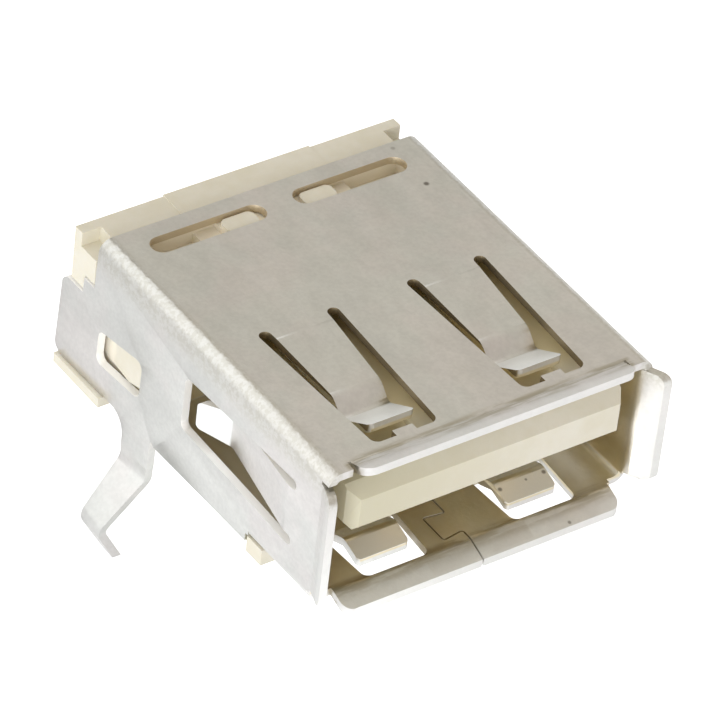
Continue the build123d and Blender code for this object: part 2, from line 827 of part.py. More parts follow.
with BuildPart() as insulator:
    # Foot between the walls, flush with the shell floor
    with BuildSketch(Plane.XY):
        with Locations((0, back(floor_depth + fit_gap))):
            Rectangle(
                2 * insulator_half,
                block_rear - floor_depth - fit_gap,
                align=(Align.CENTER, Align.MIN),
            )
    extrude(amount=foot_drop + sheet)

    # Standing pads under the floor and under the rear of the walls
    with BuildSketch(Plane.XY):
        with Locations((0, back(front_foot_depth))):
            Rectangle(
                2 * front_foot_half,
                front_foot_rear - front_foot_depth,
                align=(Align.CENTER, Align.MIN),
            )
    extrude(amount=foot_drop - fit_gap)
    with BuildSketch(Plane.XY):
        with Locations((0, back(rear_foot_depth))):
            Rectangle(
                2 * rear_foot_half,
                rear_foot_length,
                align=(Align.CENTER, Align.MIN),
            )
    extrude(amount=foot_drop - wall_drop - fit_gap)

    # Nubs that fill the reliefs at the floor folds
    with BuildSketch(Plane.XY):
        for side in sides:
            inward = Align.MAX if side > 0 else Align.MIN
            with Locations((side * front_foot_half, back(front_foot_depth))):
                Rectangle(
                    front_foot_half - (wall_outer - relief_inset) - fit_gap,
                    front_foot_rear - front_foot_depth,
                    align=(inward, Align.MIN),
                )
    extrude(amount=up(relief_height) - 2 * fit_gap)

    # Block that closes the rear of the shell
    with BuildSketch(Plane.XZ.offset(-back(block_rear))):
        with Locations((0, block_top)):
            Rectangle(2 * insulator_half, block_top, align=(Align.CENTER, Align.MAX))
        fillet(vertices().group_by(Axis.Y)[-1], radius=fold_inside)
    extrude(amount=block_rear - cavity_depth)

    # Ears that rest on the steps of the walls
    with BuildSketch(Plane.YZ):
        with BuildLine():
            Polyline(
                (back(roof_depth + 2 * fit_gap), up(step_height + fit_gap)),
                (back(step_depth + fit_gap), up(step_height + fit_gap)),
                (back(step_depth + fit_gap), up(wing_height + fit_gap)),
                (back(block_rear), up(wing_height + fit_gap)),
                (back(block_rear), block_top),
                (back(roof_depth + 2 * fit_gap), block_top),
                close=True,
            )
        make_face()
    extrude(amount=wall_outer, both=True)

    # The block's ends are stepped down a little from its middle
    with BuildSketch(Plane.XZ.offset(-back(block_rear))):
        for side in sides:
            inward = Align.MIN if side > 0 else Align.MAX
            with Locations((side * end_step_x, block_top)):
                Rectangle(shell_width, 2 * end_step, align=(inward, Align.CENTER))
    extrude(amount=block_rear - roof_depth - 2 * fit_gap, mode=Mode.SUBTRACT)
    with BuildSketch(Plane.XY.offset(up(wing_height))):
        for side in sides:
            inward = Align.MIN if side > 0 else Align.MAX
            with Locations((side * end_step_x, back(block_rear))):
                Rectangle(shell_width, 2 * end_step_back, align=(inward, Align.CENTER))
    extrude(amount=shell_height, mode=Mode.SUBTRACT)

    # Notches in the ears behind the corners of the shell
    with BuildSketch(Plane.XY.offset(block_top - ear_notch_height)):
        for side in sides:
            inward = Align.MAX if side > 0 else Align.MIN
            with Locations((side * wall_outer, back(roof_depth))):
                Rectangle(ear_notch_width, ear_front - roof_depth, align=(inward, Align.MIN))
    extrude(amount=shell_height, mode=Mode.SUBTRACT)

    # Pockets and bosses under the roof slots
    pockets = [
        (boss_outer, shelf_outer, shelf_drop),
        (shelf_outer, pocket_outer, pocket_drop),
    ]
    for inner, outer, drop in pockets:
        with BuildSketch(Plane.XY.offset(block_top - drop)):
            for side in sides:
                with Locations((side * (inner + outer) / 2, back(roof_slot_front - pocket_margin))):
                    Rectangle(
                        outer - inner,
                        roof_slot_width + 2 * pocket_margin,
                        align=(Align.CENTER, Align.MIN),
                    )
        extrude(amount=shell_height, mode=Mode.SUBTRACT)
    with BuildSketch(Plane.XY.offset(block_top - boss_rise)):
        boss_width = roof_slot_width - 2 * boss_side_gap
        for side in sides:
            with Locations(
                (side * (boss_inner + boss_outer) / 2, back((roof_slot_front + roof_slot_rear) / 2))
            ):
                RectangleRounded(boss_outer - boss_inner, boss_width, boss_width / 3)
    extrude(amount=2 * boss_rise)

    # Latches that snap into the wall windows
    for side in sides:
        add(latch(side))

    # Tongue, then the space for the contacts
    add(tongue())
    for centre in contact_places:
        add(contact_passage(centre), mode=Mode.SUBTRACT)

insulator.part.label = "insulator"

os.makedirs("parts", exist_ok=True)
export_step(shell.part, "parts/shell.step")
export_step(insulator.part, "parts/insulator.step")
for number, centre in enumerate(contact_places, start=1):
    piece = contact(centre)
    piece.label = f"contact_{number}"
    export_step(piece, f"parts/contact_{number}.step")
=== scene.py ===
import math

import bpy
from mathutils import Matrix, Vector


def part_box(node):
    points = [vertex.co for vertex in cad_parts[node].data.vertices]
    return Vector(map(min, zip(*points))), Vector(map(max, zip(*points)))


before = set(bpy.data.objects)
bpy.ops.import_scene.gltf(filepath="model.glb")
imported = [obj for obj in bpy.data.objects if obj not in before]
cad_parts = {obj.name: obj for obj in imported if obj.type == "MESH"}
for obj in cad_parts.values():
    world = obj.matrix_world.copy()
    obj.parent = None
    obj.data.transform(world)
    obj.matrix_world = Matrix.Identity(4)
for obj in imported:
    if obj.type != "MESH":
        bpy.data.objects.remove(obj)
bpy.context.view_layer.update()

MM = 0.001
PER_MM = 1000.0
shell_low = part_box("shell")[0]


def rgb(red, green, blue):
    """A colour as the nodes take it, with nothing see-through."""
    return (red, green, blue, 1.0)


# Camera: a long lens that looks down into the mouth from its left
LENS = 315.97
SENSOR = 36.0
CAMERA_PLACE = Vector((-103.698, -132.273, 137.506)) * MM
LOOK = Vector((0.48658, 0.60572, -0.62956)).normalized()
ROLL = math.radians(7.03)
CLIP_NEAR = 0.01
CLIP_FAR = 10.0

# Driving sizes of the socket, mm: sheet, mouth, feet, the gap over the tongue, and its contacts
SHEET = 0.30
MOUTH_WIDTH = 12.50
MOUTH_HEIGHT = 5.12
STAND = 0.55
TONGUE_GAP = 0.71
CONTACTS = 4

# Faces of the shell and the tongue in the shared frame, mm
WALL_INSIDE = MOUTH_WIDTH / 2
FLOOR_TOP = STAND + SHEET
ROOF_UNDER = FLOOR_TOP + MOUTH_HEIGHT
ROOF_TOP = ROOF_UNDER + SHEET
TONGUE_TOP = ROOF_UNDER - TONGUE_GAP
FOLD_START = WALL_INSIDE - 0.20
SEAM_HALF = 2.0
LIP_TIP = shell_low[1] * PER_MM


def back(depth):
    """Y, in mm, of a place that lies so deep behind the tips of the lips."""
    return LIP_TIP + depth


LIP_REAR = back(0.95)
FINGER_TIP = back(1.67)
SPRING_TIP = back(2.15)
FINGER_RIDGE = back(2.55)
SPRING_CREST = back(3.62)
SIDE_SPRING_CREST = back(6.75)
SIDE_SPRING_TIP = back(8.10)
SHEET_REAR = back(14.40)

# Spans, in mm, over which a tone or finish of the shell fades in or out, from its middle outward; most of
# these tones are painted shade or painted highlights
IN_WALL = (WALL_INSIDE + 0.05, WALL_INSIDE + 0.15)
BY_FOLD = (FOLD_START - 0.40, FOLD_START - 0.20)
ON_FOLD = (FOLD_START - 0.10, FOLD_START + 0.14)
BY_SEAM = (SEAM_HALF, SEAM_HALF + 0.10)
BY_SIDE_SPRING = (WALL_INSIDE - 1.60, WALL_INSIDE - 1.40)
BY_WALL = (WALL_INSIDE - 1.10, WALL_INSIDE - 0.90)

# The same, from the floor up
IN_FLOOR = (FLOOR_TOP - 0.15, FLOOR_TOP - 0.05)
FLOOR_FACE = (FLOOR_TOP - 0.05, FLOOR_TOP)
OVER_FLOOR = (FLOOR_TOP, FLOOR_TOP + 0.10)
WALL_FOOT = (FLOOR_TOP + 0.05, FLOOR_TOP + 0.10)
OVER_FINGERS = (ROOF_UNDER - 2.0, ROOF_UNDER - 1.0)
BY_TONGUE_TOP = (TONGUE_TOP - 0.20, TONGUE_TOP)
WALL_HEAD = (ROOF_UNDER - 0.80, ROOF_UNDER - 0.60)
ROOF_FACE = (ROOF_UNDER - 0.05, ROOF_UNDER)
IN_ROOF = (ROOF_UNDER + 0.05, ROOF_UNDER + 0.15)
UP_FOLD = (ROOF_TOP - 1.35, ROOF_TOP - 0.45)

# The same, from the lips back
LIP_EDGE = (LIP_TIP + 0.05, LIP_TIP + 0.15)
LIP_BRIM = (LIP_TIP + 0.15, LIP_TIP + 0.55)
LIP_BEND_START = (LIP_TIP + 0.30, LIP_REAR - 0.20)
LIP_BEND_END = (LIP_REAR - 0.05, LIP_REAR + 0.25)
MOUTH_START = (LIP_REAR - 0.50, LIP_REAR + 0.40)
ROOF_START = (LIP_REAR, LIP_REAR + 0.30)
WALL_START = (LIP_REAR + 0.80, LIP_REAR + 1.00)
FINGER_START = (FINGER_TIP - 0.10, FINGER_TIP)
FINGER_END = (FINGER_RIDGE - 0.10, FINGER_RIDGE + 0.15)
SPRING_START = (SPRING_TIP - 0.20, SPRING_TIP - 0.10)
SPRING_END = (SPRING_CREST - 0.10, SPRING_CREST + 0.05)
PAST_CREST = (SPRING_CREST, SPRING_CREST + 0.50)
SIDE_SPRING_START = (SIDE_SPRING_CREST, SIDE_SPRING_CREST + 0.10)
SIDE_SPRING_END = (SIDE_SPRING_TIP + 0.10, SIDE_SPRING_TIP + 0.20)
SPRINGS_TO_SLOTS = (-3.5, 1.0)
WHOLE_ROOF = (-9.0, 4.0)

# The same for the way a face looks, where 1 is straight up, outward or to the rear
TURNED_OUT = (0.3, 0.6)
TURNED_UP = (0.3, 0.5)
FLOOR_LIKE = (0.2, 0.5)
LEVEL_ON_ROOF = (0.48, 0.66)
LEVEL_ON_FLOOR = (0.85, 0.98)
TO_FRONT = (-0.7, -0.4)
WALL_LIKE = (0.35, 0.60)
FINGER_SLOPE = (-0.25, -0.10)
SPRING_SLOPE = (0.15, 0.35)
SPRING_TOP = (0.4, 0.6)
SIDE_SPRING_SLOPE = (-0.30, -0.15)
SIDE_SPRING_OUTSIDE = (0.5, 0.7)

# The same for the insulator's painted shade and painted light, mm
TONGUE_FRONT = (-8.5, -7.8)
TONGUE_SHADE = (-9.0, -7.8)
BLOCK_FRONT = (-0.5, 1.5)
IN_SLOTS = (1.0, 2.0)
BEHIND_SLOTS = (SHEET_REAR - 0.10, SHEET_REAR)
BY_INSIDE = (WALL_INSIDE, WALL_INSIDE + 0.05)
UNDER_ROOF = (ROOF_UNDER - 0.10, ROOF_UNDER)
OVER_ROOF_FACE = (ROOF_UNDER, ROOF_UNDER + 0.10)
LEFT_TO_RIGHT = (-6.0, 2.0)

# Height over which the contacts' gold-coloured plate takes over from the tin, mm
GOLD_START = (0.6, 1.4)

# Tones of the plate outside; painted shade inside the mouth, on cut faces and along the lip bends; painted
# highlights on the walls' cut faces, finger tips, lip tips and spring tips; the greyer fold, pits and dark
# marks
TIN_GREENISH = rgb(0.780, 0.786, 0.762)
TIN_PINKISH = rgb(0.806, 0.786, 0.768)
INNER_WALL_SHADE_DEEP = rgb(0.80, 0.70, 0.47)
INNER_WALL_SHADE_PALE = rgb(0.88, 0.79, 0.57)
INNER_FLOOR_SHADE_DEEP = rgb(0.88, 0.86, 0.77)
INNER_FLOOR_SHADE_PALE = rgb(0.95, 0.94, 0.87)
CUT_SHADE_DARK = rgb(0.34, 0.28, 0.18)
CUT_SHADE_PALE = rgb(0.66, 0.58, 0.44)
WALL_CUT_HIGHLIGHT = rgb(0.96, 0.955, 0.94)
FINGER_LIT_GREY = rgb(0.90, 0.875, 0.80)
LIP_BEND_SHADE = rgb(0.50, 0.46, 0.37)
LIP_TIP_HIGHLIGHT = rgb(0.95, 0.95, 0.93)
SPRING_TIP_HIGHLIGHT = rgb(0.97, 0.99, 0.985)
FOLD_GREY = rgb(0.775, 0.765, 0.715)
FLECK_GREY = rgb(0.58, 0.56, 0.48)
PIT_BROWN = rgb(0.20, 0.17, 0.13)
MARK_BROWN = rgb(0.10, 0.08, 0.06)

# Tones of the insulator: its own ivory and dust, with painted shade inside the mouth and on the tongue's
# front, and painted light in the rear slots
IVORY_DEEP = rgb(0.725, 0.684, 0.560)
IVORY_PALE = rgb(0.772, 0.738, 0.635)
IVORY_SHADE_INSIDE = rgb(0.80, 0.71, 0.46)
IVORY_LIT_IN_SLOTS = rgb(0.93, 0.87, 0.74)
IVORY_TONGUE_SHADE = rgb(0.62, 0.585, 0.42)
DUST_BROWN = rgb(0.35, 0.28, 0.18)

# Tones of the contacts
GOLD_DEEP = rgb(0.80, 0.60, 0.30)
GOLD_PALE = rgb(0.88, 0.70, 0.40)
TIN_DEEP = rgb(0.66, 0.64, 0.60)
TIN_PALE = rgb(0.78, 0.76, 0.72)

# Patterns of the plate: how fine they are, and how they are drawn out along each axis
FINE_TONES = 6.5 * PER_MM
SEAM_PATCHES = 0.7 * PER_MM
LIP_STREAKS = 2.6 * PER_MM
PEBBLES = 6.2 * PER_MM
STREAK_SPAN = (0.38, 0.60)
ROLLED = (1.0, 0.45, 1.0)
BRUSHED = (1.0, 0.35, 1.0)
ALONG_LIP = (0.22, 1.6, 1.6)

# Sheen and relief of the plate where it isn't plain
EDGE_METAL = 0.2
FINGER_DULLNESS = 0.6
SCATTER_ROUGHNESS = 0.25
PEBBLE_LIFT = 3.2

# Small dark marks on the shell: place in mm, radius in mm, depth of tone, and the full share of a radius
MARKS = [
    ((5.14, 0.76, ROOF_TOP), 0.14, 0.75),
    ((5.24, 2.94, ROOF_TOP), 0.12, 0.30),
    ((3.54, -11.02, 0.60), 0.09, 0.60),
    ((2.10, -8.91, 1.03), 0.11, 0.70),
    ((3.18, -8.90, 1.03), 0.07, 0.65),
    ((3.94, -8.87, 1.04), 0.11, 0.75),
]
MARK_CORE = 0.35

# Edges of pressed sheet and moulded plastic are never quite sharp
SHEET_ROUNDING = 0.035 * MM
PLASTIC_ROUNDING = 0.045 * MM
CONTACT_ROUNDING = 0.02 * MM
ROUNDING_STEPS = 2
SHARP_ANGLE = math.radians(35)
WELD_GAP = 0.0005 * MM

# Room that the metal mirrors, by direction: white low down, a warm grey ceiling, a darker low rear
WHITE = rgb(1.0, 1.0, 1.0)
ROOM_WHITE = rgb(0.98, 0.98, 0.98)
CEILING_REAR = rgb(0.605, 0.568, 0.495)
CEILING_FRONT = rgb(0.560, 0.515, 0.460)
LOW_REAR = rgb(0.34, 0.31, 0.26)
CEILING_RISE = (0.05, 0.40)
FRONT_TO_REAR = (-0.4, 0.3)
LOW_REAR_START = (0.12, 0.25)
LOW_REAR_END = (0.35, 0.50)
REAR_SIDE = (0.4, 0.7)

# Wide bright panel, which the left folds and legs mirror
PANEL_WAY = Vector((-0.62, 0.61, 0.49))
PANEL_EDGE = (0.55, 0.80)
PANEL_WHITE = rgb(1.22, 1.22, 1.21)

# Table top under the tips of the board legs, and how bright it looks to the camera and in the metal,
# where it dims from front to rear over a span in mm
TABLE_GAP = 0.10 * MM
TABLE_TOP = shell_low[2] - TABLE_GAP
TABLE_HALF = 0.40
TABLE_COLOUR = rgb(0.835, 0.855, 0.895)
TABLE_ROUGHNESS = 0.9
CAMERA_GLOW = 0.80
FRONT_GLOW = 0.25
REAR_GLOW = 0.14
FRONT_TO_REAR_GLOW = (-20.0, 20.0)

# Brighter patches of the table as the metal mirrors them: place and radius in mm, strength
TABLE_PATCHES = [
    ((-4.0, -12.0), 10.0, 0.45),
    ((-15.5, 0.5), 6.0, 0.14),
]
PATCH_CORE = 0.3

# Soft light from the front left
KEY_PLACE = (-0.36, -0.30, 0.12)
KEY_SIZE = (0.30, 0.20)
KEY_POWER = 1.30
KEY_COLOUR = (0.965, 0.98, 1.0)


def place_camera():
    data = bpy.data.cameras.new("camera")
    data.lens = LENS
    data.sensor_width = SENSOR
    data.clip_start = CLIP_NEAR
    data.clip_end = CLIP_FAR
    camera = bpy.data.objects.new("camera", data)
    bpy.context.scene.collection.objects.link(camera)
    level_right = LOOK.cross(Vector((0, 0, 1))).normalized()
    level_up = level_right.cross(LOOK)
    right = level_right * math.cos(ROLL) + level_up * math.sin(ROLL)
    up = right.cross(LOOK)
    turn = Matrix((right, up, -LOOK)).transposed()
    camera.matrix_world = Matrix.Translation(CAMERA_PLACE) @ turn.to_4x4()
    bpy.context.scene.camera = camera


class Shading:
    """Short calls that add and join the nodes of one material, world or group."""

    def __init__(self, tree):
        self.tree = tree

    def node(self, kind, **settings):
        made = self.tree.nodes.new(kind)
        for name, value in settings.items():
            setattr(made, name, value)
        return made

    def join(self, source, target):
        self.tree.links.new(source, target)

    def feed(self, target, value):
        if isinstance(value, bpy.types.NodeSocket):
            self.join(value, target)
        elif value is not None:
            target.default_value = value

    def math(self, operation, a, b=None):
        made = self.node("ShaderNodeMath", operation=operation)
        self.feed(made.inputs[0], a)
        self.feed(made.inputs[1], b)
        return made.outputs[0]

    def product(self, *values):
        """All values multiplied, which keeps only what lies in every mask."""
        result = values[0]
        for value in values[1:]:
            result = self.math("MULTIPLY", result, value)
        return result

    def largest(self, *values):
        """The highest of the values, which joins masks."""
        result = values[0]
        for value in values[1:]:
            result = self.math("MAXIMUM", result, value)
        return result

    def ramp(self, value, span, low, high):
        """Value carried smoothly from its span onto the span from low to high."""
        made = self.node("ShaderNodeMapRange", interpolation_type="SMOOTHSTEP")
        for name, given in (
            ("Value", value),
            ("From Min", span[0]),
            ("From Max", span[1]),
            ("To Min", low),
            ("To Max", high),
        ):
            self.feed(made.inputs[name], given)
        return made.outputs["Result"]

    def rise(self, value, span):
        return self.ramp(value, span, low=0.0, high=1.0)

    def fall(self, value, span):
        return self.ramp(value, span, low=1.0, high=0.0)

    def around_half(self, value, half, low=0.0, high=1.0):
        """A noise's value, within half of one half, carried onto the span from low to high."""
        return self.ramp(value, (0.5 - half, 0.5 + half), low, high)

    def blend(self, share, a, b, way="MIX"):
        made = self.node("ShaderNodeMix", data_type="RGBA", blend_type=way, clamp_factor=True)
        self.feed(made.inputs[0], share)
        self.feed(made.inputs[6], a)
        self.feed(made.inputs[7], b)
        return made.outputs[2]

    def laid(self, tone, colour, mask, strength=None):
        """Colour with a tone laid over it where the mask is."""
        share = mask if strength is None else self.math("MULTIPLY", mask, strength)
        return self.blend(share, colour, tone)

    def noise(self, place, scale, detail=2.0, roughness=0.5):
        made = self.node("ShaderNodeTexNoise")
        self.feed(made.inputs["Vector"], place)
        self.feed(made.inputs["Scale"], scale)
        made.inputs["Detail"].default_value = detail
        made.inputs["Roughness"].default_value = roughness
        return made.outputs["Fac"]

    def stretched(self, place, scale):
        made = self.node("ShaderNodeMapping")
        self.feed(made.inputs["Vector"], place)
        made.inputs["Scale"].default_value = scale
        return made.outputs["Vector"]

    def axes(self, vector):
        split = self.node("ShaderNodeSeparateXYZ")
        self.join(vector, split.inputs[0])
        return split.outputs["X"], split.outputs["Y"], split.outputs["Z"]

    def object_place(self):
        return self.node("ShaderNodeTexCoord").outputs["Object"]

    def near(self, place, centre, radius, core, strength=1.0):
        """Strength round a centre that is given in mm, full in the core and none past the radius."""
        far = self.node("ShaderNodeVectorMath", operation="DISTANCE")
        self.join(place, far.inputs[0])
        far.inputs[1].default_value = Vector(centre) * MM
        return self.ramp(far.outputs["Value"], (core * radius * MM, radius * MM), low=strength, high=0.0)


class Spot:
    """Where a point of the object lies, in mm: to the right, from the middle, to the rear and up."""

    def __init__(self, shading, place):
        x, y, z = shading.axes(place)
        self.place = place
        self.right = shading.math("MULTIPLY", x, PER_MM)
        self.across = shading.math("ABSOLUTE", self.right)
        self.behind = shading.math("MULTIPLY", y, PER_MM)
        self.height = shading.math("MULTIPLY", z, PER_MM)


class Facing:
    """The way the face at a spot looks: to the rear, up, and away from the object's middle."""

    def __init__(self, shading, at):
        normal = shading.node("ShaderNodeNewGeometry").outputs["Normal"]
        x, self.rearward, self.up = shading.axes(normal)
        self.level = shading.math("ABSOLUTE", self.up)
        self.sideways = shading.math("ABSOLUTE", x)
        self.outward = shading.math("MULTIPLY", x, shading.math("SIGN", at.right))


def new_group(name, inputs, outputs):
    """An empty shader node group with the given sockets: name, kind and default of each input."""
    tree = bpy.data.node_groups.new(name, "ShaderNodeTree")
    for label, kind, default in inputs:
        made = tree.interface.new_socket(name=label, in_out="INPUT", socket_type=kind)
        if default is not None:
            made.default_value = default
    for label, kind in outputs:
        tree.interface.new_socket(name=label, in_out="OUTPUT", socket_type=kind)
    shading = Shading(tree)
    entry = shading.node("NodeGroupInput")
    leave = shading.node("NodeGroupOutput")
    return tree, shading, entry.outputs, leave.inputs


def mottle_group():
    """Soft, cloudy variation of tone, in two sizes, round a value of one half."""
    tree, shading, given, out = new_group(
        "mottle",
        [("Place", "NodeSocketVector", None), ("Size per mm", "NodeSocketFloat", 1.0)],
        [("Tone", "NodeSocketFloat")],
    )
    finer_by = 4.3
    broad_share = 0.65
    per_metre = shading.math("MULTIPLY", given["Size per mm"], PER_MM)
    broad = shading.noise(given["Place"], per_metre, detail=3.0, roughness=0.55)
    finer = shading.math("MULTIPLY", per_metre, finer_by)
    fine = shading.noise(given["Place"], finer, detail=2.0, roughness=0.6)
    mixed = shading.math(
        "ADD",
        shading.math("MULTIPLY", broad, broad_share),
        shading.math("MULTIPLY", fine, 1.0 - broad_share),
    )
    shading.join(mixed, out["Tone"])
    return tree


def speck_group():
    """Sparse dark specks, such as pin holes in the plate or dust in the plastic."""
    tree, shading, given, out = new_group(
        "specks",
        [
            ("Place", "NodeSocketVector", None),
            ("Cells per mm", "NodeSocketFloat", 1.0),
            ("Radius", "NodeSocketFloat", 0.05),
            ("Share", "NodeSocketFloat", 0.1),
        ],
        [("Mask", "NodeSocketFloat")],
    )
    cells = shading.node("ShaderNodeTexVoronoi", feature="F1", distance="EUCLIDEAN")
    shading.join(given["Place"], cells.inputs["Vector"])
    shading.join(shading.math("MULTIPLY", given["Cells per mm"], PER_MM), cells.inputs["Scale"])
    near = shading.fall(cells.outputs["Distance"], (0.0, given["Radius"]))
    pick = shading.node("ShaderNodeSeparateColor")
    shading.join(cells.outputs["Color"], pick.inputs["Color"])
    chosen = shading.math("LESS_THAN", pick.outputs["Red"], given["Share"])
    shading.join(shading.math("MULTIPLY", near, chosen), out["Mask"])
    return tree


def grain_group():
    """Fine relief of a surface: a height that feeds a bump."""
    tree, shading, given, out = new_group(
        "grain",
        [
            ("Place", "NodeSocketVector", None),
            ("Grains per mm", "NodeSocketFloat", 20.0),
            ("Waves per mm", "NodeSocketFloat", 1.0),
            ("Wave share", "NodeSocketFloat", 0.5),
        ],
        [("Height", "NodeSocketFloat")],
    )
    grains = shading.math("MULTIPLY", given["Grains per mm"], PER_MM)
    waves = shading.math("MULTIPLY", given["Waves per mm"], PER_MM)
    mixed = shading.node("ShaderNodeMix", data_type="FLOAT")
    shading.join(given["Wave share"], mixed.inputs[0])
    shading.join(shading.noise(given["Place"], grains, detail=2.0), mixed.inputs[2])
    shading.join(shading.noise(given["Place"], waves, detail=1.0), mixed.inputs[3])
    shading.join(mixed.outputs[0], out["Height"])
    return tree


MOTTLE = mottle_group()
SPECKS = speck_group()
GRAIN = grain_group()


def use_group(shading, tree, **given):
    """A group placed in a material, with a value for each of its inputs."""
    made = shading.node("ShaderNodeGroup", node_tree=tree)
    for name, value in given.items():
        shading.feed(made.inputs[name.replace("_", " ")], value)
    return made.outputs[0]


def new_material(name):
    material = bpy.data.materials.new(name)
    material.use_nodes = True
    tree = material.node_tree
    tree.nodes.clear()
    shading = Shading(tree)
    shader = shading.node("ShaderNodeBsdfPrincipled")
    output = shading.node("ShaderNodeOutputMaterial")
    shading.join(shader.outputs["BSDF"], output.inputs["Surface"])
    return material, shading, shader


def relief(shading, shader, height, depth, strength):
    """Relief of the given height, so many mm deep."""
    bump = shading.node("ShaderNodeBump")
    bump.inputs["Strength"].default_value = strength
    bump.inputs["Distance"].default_value = depth * MM
    shading.join(height, bump.inputs["Height"])
    shading.join(bump.outputs["Normal"], shader.inputs["Normal"])


def inside_mouth(shading, at, face):
    """Where the shade inside is painted: between the walls, over the floor and under the roof, with the
    roof's cut edges.
    """
    high_and_up = shading.product(face.up, shading.rise(at.height, BY_TONGUE_TOP))
    return shading.product(
        shading.fall(at.across, IN_WALL),
        shading.fall(at.height, IN_ROOF),
        shading.rise(at.height, IN_FLOOR),
        shading.rise(at.behind, MOUTH_START),
        shading.fall(face.outward, TURNED_OUT),
        shading.fall(high_and_up, TURNED_UP),
    )


def roof_cuts(shading, at, face):
    """Cut faces of the roof's openings, where shade is painted, but not the tips of its springs."""
    not_tip = shading.largest(
        shading.ramp(face.rearward, TO_FRONT, low=0.3, high=1.0),
        shading.rise(at.behind, PAST_CREST),
    )
    return shading.product(
        shading.fall(face.level, LEVEL_ON_ROOF),
        shading.fall(at.across, BY_FOLD),
        shading.rise(at.height, ROOF_FACE),
        shading.rise(at.behind, ROOF_START),
        not_tip,
    )


def seam_cuts(shading, at, face):
    """Faces of the seam in the floor, where shade is painted, darker in one stretch than in the next."""
    in_seam = shading.product(
        shading.fall(face.level, LEVEL_ON_FLOOR),
        shading.fall(at.across, BY_SEAM),
        shading.fall(at.height, OVER_FLOOR),
        shading.rise(at.behind, LIP_EDGE),
    )
    patchy = shading.noise(at.place, SEAM_PATCHES, detail=1.0)
    return shading.product(in_seam, shading.around_half(patchy, half=0.10, low=0.62, high=0.95))


def matt_wall_cuts(shading, at, face):
    """Cut faces round the openings of the walls, which scatter the light instead, with a near-white painted
    highlight.
    """
    return shading.product(
        shading.rise(at.across, BY_WALL),
        shading.fall(face.sideways, WALL_LIKE),
        shading.fall(at.height, WALL_HEAD),
        shading.rise(at.height, WALL_FOOT),
        shading.rise(at.behind, WALL_START),
    )


def finger_tips(shading, at, face):
    """The part of each floor finger that slopes down toward the mouth, where a paler grey is painted as
    light.
    """
    return shading.product(
        shading.fall(at.behind, FINGER_END),
        shading.rise(at.behind, FINGER_START),
        shading.fall(face.rearward, FINGER_SLOPE),
        shading.rise(at.height, FLOOR_FACE),
        shading.fall(at.height, OVER_FINGERS),
        shading.fall(at.across, BY_SIDE_SPRING),
    )


def side_spring_highlights(shading, at, face):
    """Tips of the side springs, outside, where a bright highlight is painted."""
    return shading.product(
        shading.rise(at.across, BY_SIDE_SPRING),
        shading.rise(at.behind, SIDE_SPRING_START),
        shading.fall(at.behind, SIDE_SPRING_END),
        shading.fall(face.rearward, SIDE_SPRING_SLOPE),
        shading.rise(face.outward, SIDE_SPRING_OUTSIDE),
    )


def roof_spring_highlights(shading, at, face):
    """Tips of the roof springs, on top, where a bright highlight is painted."""
    return shading.product(
        shading.fall(at.behind, SPRING_END),
        shading.rise(at.behind, SPRING_START),
        shading.rise(face.rearward, SPRING_SLOPE),
        shading.rise(face.up, SPRING_TOP),
        shading.fall(at.across, BY_FOLD),
    )


def sheet_tone(shading, at):
    """Pale tin plate seen from outside: cloudy, partly pinker or greener, darker toward the rear."""
    tint = use_group(shading, MOTTLE, Place=at.place, Size_per_mm=0.12)
    tin = shading.blend(shading.around_half(tint, half=0.08), TIN_GREENISH, TIN_PINKISH)
    rolled = shading.stretched(at.place, ROLLED)
    cloud = use_group(shading, MOTTLE, Place=rolled, Size_per_mm=0.55)
    fine = shading.noise(at.place, FINE_TONES, detail=2.0)
    shade = shading.product(
        shading.around_half(cloud, half=0.16, low=0.935, high=1.03),
        shading.around_half(fine, half=0.18, low=0.975, high=1.025),
        shading.ramp(at.behind, WHOLE_ROOF, low=1.02, high=0.97),
    )
    return shading.blend(1.0, tin, shade, way="MULTIPLY")


def inner_shade(shading, at, face):
    """Painted shade and warm bounced light on the plate inside the mouth and the windows: olive brown,
    darker on walls than on faces that look up.
    """
    mottle = use_group(shading, MOTTLE, Place=at.place, Size_per_mm=0.42)
    cloud = shading.around_half(mottle, half=0.14)
    wall = shading.blend(cloud, INNER_WALL_SHADE_DEEP, INNER_WALL_SHADE_PALE)
    ground = shading.blend(cloud, INNER_FLOOR_SHADE_DEEP, INNER_FLOOR_SHADE_PALE)
    return shading.blend(shading.rise(face.up, FLOOR_LIKE), wall, ground)


def with_lip_shade_and_highlight(shading, at, colour):
    """The lips: painted shade along the bend, broken into streaks, and a painted highlight toward the tip.
    """
    along_lip = shading.stretched(at.place, ALONG_LIP)
    streaks = shading.noise(along_lip, LIP_STREAKS, detail=3.0, roughness=0.6)
    bend = shading.product(
        shading.fall(at.across, BY_FOLD),
        shading.fall(at.behind, LIP_BEND_END),
        shading.rise(at.behind, LIP_BEND_START),
        shading.ramp(streaks, STREAK_SPAN, low=0.15, high=0.9),
    )
    colour = shading.laid(LIP_BEND_SHADE, colour, bend)
    return shading.laid(LIP_TIP_HIGHLIGHT, colour, shading.fall(at.behind, LIP_BRIM), strength=0.5)


def with_fold_tones(shading, colour, fold, pebbles):
    """The folds: greyer, with dull flecks between the pebbles of the plate."""
    colour = shading.laid(FOLD_GREY, colour, fold, strength=0.6)
    flecks = shading.product(shading.around_half(pebbles, half=0.10), fold)
    return shading.laid(FLECK_GREY, colour, flecks, strength=0.42)


def with_marks(shading, at, colour):
    """Sparse pits, and the few dark marks that have a place of their own."""
    pits = use_group(shading, SPECKS, Place=at.place, Cells_per_mm=0.62, Radius=0.045, Share=0.10)
    colour = shading.laid(PIT_BROWN, colour, pits, strength=0.5)
    for point, radius, depth in MARKS:
        spot = shading.near(at.place, point, radius, MARK_CORE)
        colour = shading.laid(MARK_BROWN, colour, spot, strength=depth)
    return colour


